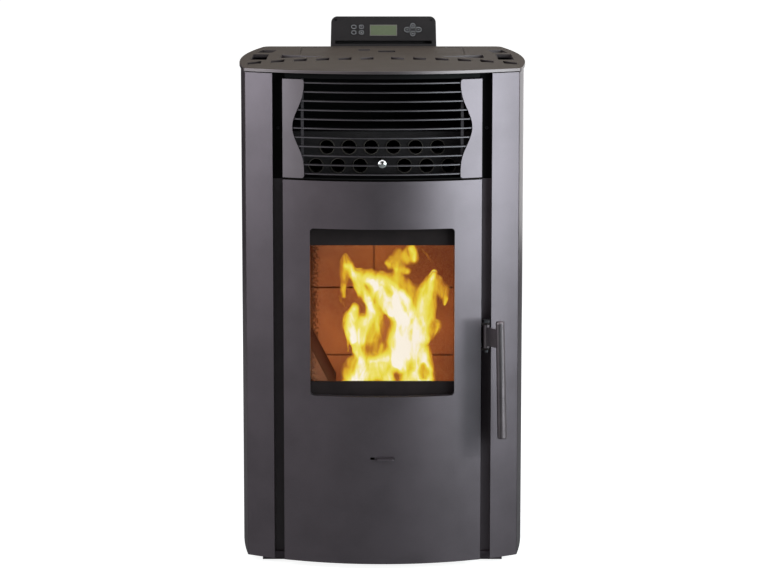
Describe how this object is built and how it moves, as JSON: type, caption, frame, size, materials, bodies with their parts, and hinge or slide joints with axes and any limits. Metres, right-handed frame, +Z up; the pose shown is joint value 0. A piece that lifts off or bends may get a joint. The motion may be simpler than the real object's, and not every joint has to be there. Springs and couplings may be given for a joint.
{
  "type": "pellet stove",
  "caption": "Free-standing pellet stove with bowed door and glass window, curved slatted warm-air grille, vented top with pellet hopper lid and a key panel behind it",
  "frame": {"origin": "on the floor below the middle of the overall box", "axes": "+Z up; the viewer stands in front of the door at -Y; +X is the viewer's right, the handle's side"},
  "size_m": [0.5292, 0.605, 0.968],
  "materials": {
    "body_paint": "satin metallic anthracite stove paint",
    "grille_paint": "satin anthracite stove paint on the slats",
    "top_paint": "satin warm anthracite stove paint",
    "black_paint": "matt black stove paint",
    "handle_paint": "satin black lacquer on the turned handle bar",
    "rear_sheet": "matt dark grey sheet steel",
    "foot_steel": "zinc plated levelling feet",
    "hinge_steel": "zinc plated steel",
    "bolt_steel": "zinc plated hexagon bolt",
    "screw_steel": "blackened pan head screws",
    "seal_rubber": "soft silicone seal",
    "hopper_sheet": "galvanised sheet steel",
    "tube_steel": "plain drawn steel darkened by heat",
    "knob_chrome": "polished chrome",
    "firebox_steel": "sooty heat resistant black paint",
    "firebrick": "cast brick-look fire lining with soot",
    "pot_iron": "raw cast iron burn pot",
    "igniter_ceramic": "pale ignition cartridge",
    "motor_aluminium": "die cast motor housings",
    "flue_aluminium": "cast scroll and spigot",
    "socket_plastic": "black moulded plastic",
    "panel_black": "fine matt black coating",
    "display_glass": "olive liquid crystal display behind a clear window",
    "key_film": "dark key tops with a pale printed rim",
    "frame_iron": "cast iron in matt black stove paint",
    "rope_fibre": "braided glass fibre rope and tape",
    "door_glass": "clear glass ceramic"
  },
  "bodies": {
    "cabinet": {"left_side_panel": "body_paint", "right_side_panel": "body_paint", "left_grille_cheek": "body_paint", "right_grille_cheek": "body_paint", "grille_slats": "grille_paint", "top_plate": "top_paint", "left_channel_post": "black_paint", "right_channel_post": "black_paint", "grille_housing": "black_paint", "tube_plate": "black_paint", "rear_panel": "rear_sheet", "base_pan": "black_paint", "levelling_feet": "foot_steel", "lid_hinge": "hinge_steel", "lid_seal": "seal_rubber", "hopper": "hopper_sheet", "exchanger_tubes": "tube_steel", "firebox_shell": "firebox_steel", "back_refractory": "firebrick", "side_refractories": "firebrick", "burn_pot": "pot_iron", "igniter": "igniter_ceramic", "ash_drawer": "firebox_steel", "auger_tube": "hopper_sheet", "auger_motor": "motor_aluminium", "exhaust_blower": "flue_aluminium", "convection_blower": "hopper_sheet", "air_inlet_pipe": "tube_steel", "power_inlet": "socket_plastic", "control_housing": "panel_black", "control_face": "panel_black", "display_window": "display_glass", "hinge_brackets": "hinge_steel", "latch_keeper": "hinge_steel", "screws": "screw_steel"},
    "door": {"door_skin": "body_paint", "door_frame": "frame_iron", "door_rope_seal": "rope_fibre", "window_glass": "door_glass", "glass_gasket": "rope_fibre", "glass_clips": "hinge_steel", "handle_bolt": "bolt_steel"},
    "handle": {"handle_strap": "black_paint", "handle_rod": "handle_paint"},
    "air_control": {"air_slider": "body_paint"},
    "lid": {"hopper_lid": "top_paint"},
    "scraper": {"scraper_rod": "tube_steel", "scraper_knob": "knob_chrome"},
    "auger": {"auger_screw": "tube_steel"},
    "exhaust_wheel": {"exhaust_impeller": "tube_steel"},
    "room_air_wheel": {"convection_impeller": "motor_aluminium"},
    "key_button_1": {"button_1": "key_film"},
    "key_button_2": {"button_2": "key_film"},
    "key_button_3": {"button_3": "key_film"},
    "key_button_4": {"button_4": "key_film"},
    "key_pad_left": {"pad_left": "key_film"},
    "key_pad_right": {"pad_right": "key_film"},
    "key_pad_up": {"pad_up": "key_film"},
    "key_pad_down": {"pad_down": "key_film"}
  },
  "joints": [
    {"name": "door_swing", "type": "hinge", "parent": "cabinet", "child": "door", "pos_m": [-0.168, -0.2455, 0.362], "axis": [0, 0, -1], "range_deg": [0, 100]},
    {"name": "handle_turn", "type": "hinge", "parent": "door", "child": "handle", "pos_m": [0.188, -0.2455, 0.425], "axis": [0, 0, -1], "range_deg": [0, 20]},
    {"name": "air_slide", "type": "slide", "parent": "door", "child": "air_control", "axis": [1, 0, 0], "range_m": [-0.012, 0]},
    {"name": "lid_lift", "type": "hinge", "parent": "cabinet", "child": "lid", "pos_m": [0, 0.2261, 0.9085], "axis": [-1, 0, 0], "range_deg": [0, 80]},
    {"name": "scraper_pull", "type": "slide", "parent": "cabinet", "child": "scraper", "axis": [0, -1, 0], "range_m": [0, 0.06]},
    {"name": "auger_turn", "type": "hinge", "parent": "cabinet", "child": "auger", "pos_m": [0, 0.1095, 0.49], "axis": [0, 1, 0], "continuous": true},
    {"name": "exhaust_turn", "type": "hinge", "parent": "cabinet", "child": "exhaust_wheel", "pos_m": [0.105, 0.1295, 0.15], "axis": [0, 1, 0], "continuous": true},
    {"name": "room_air_turn", "type": "hinge", "parent": "cabinet", "child": "room_air_wheel", "pos_m": [-0.095, -0.0005, 0.11], "axis": [0, 1, 0], "continuous": true},
    {"name": "press_button_1", "type": "slide", "parent": "cabinet", "child": "key_button_1", "axis": [0, 0.9903, -0.1392], "range_m": [0, 0.0006], "stiffness_N_per_m": 400},
    {"name": "press_button_2", "type": "slide", "parent": "cabinet", "child": "key_button_2", "axis": [0, 0.9903, -0.1392], "range_m": [0, 0.0006], "stiffness_N_per_m": 400},
    {"name": "press_button_3", "type": "slide", "parent": "cabinet", "child": "key_button_3", "axis": [0, 0.9903, -0.1392], "range_m": [0, 0.0006], "stiffness_N_per_m": 400},
    {"name": "press_button_4", "type": "slide", "parent": "cabinet", "child": "key_button_4", "axis": [0, 0.9903, -0.1392], "range_m": [0, 0.0006], "stiffness_N_per_m": 400},
    {"name": "press_pad_left", "type": "slide", "parent": "cabinet", "child": "key_pad_left", "axis": [0, 0.9903, -0.1392], "range_m": [0, 0.0006], "stiffness_N_per_m": 400},
    {"name": "press_pad_right", "type": "slide", "parent": "cabinet", "child": "key_pad_right", "axis": [0, 0.9903, -0.1392], "range_m": [0, 0.0006], "stiffness_N_per_m": 400},
    {"name": "press_pad_up", "type": "slide", "parent": "cabinet", "child": "key_pad_up", "axis": [0, 0.9903, -0.1392], "range_m": [0, 0.0006], "stiffness_N_per_m": 400},
    {"name": "press_pad_down", "type": "slide", "parent": "cabinet", "child": "key_pad_down", "axis": [0, 0.9903, -0.1392], "range_m": [0, 0.0006], "stiffness_N_per_m": 400}
  ]
}
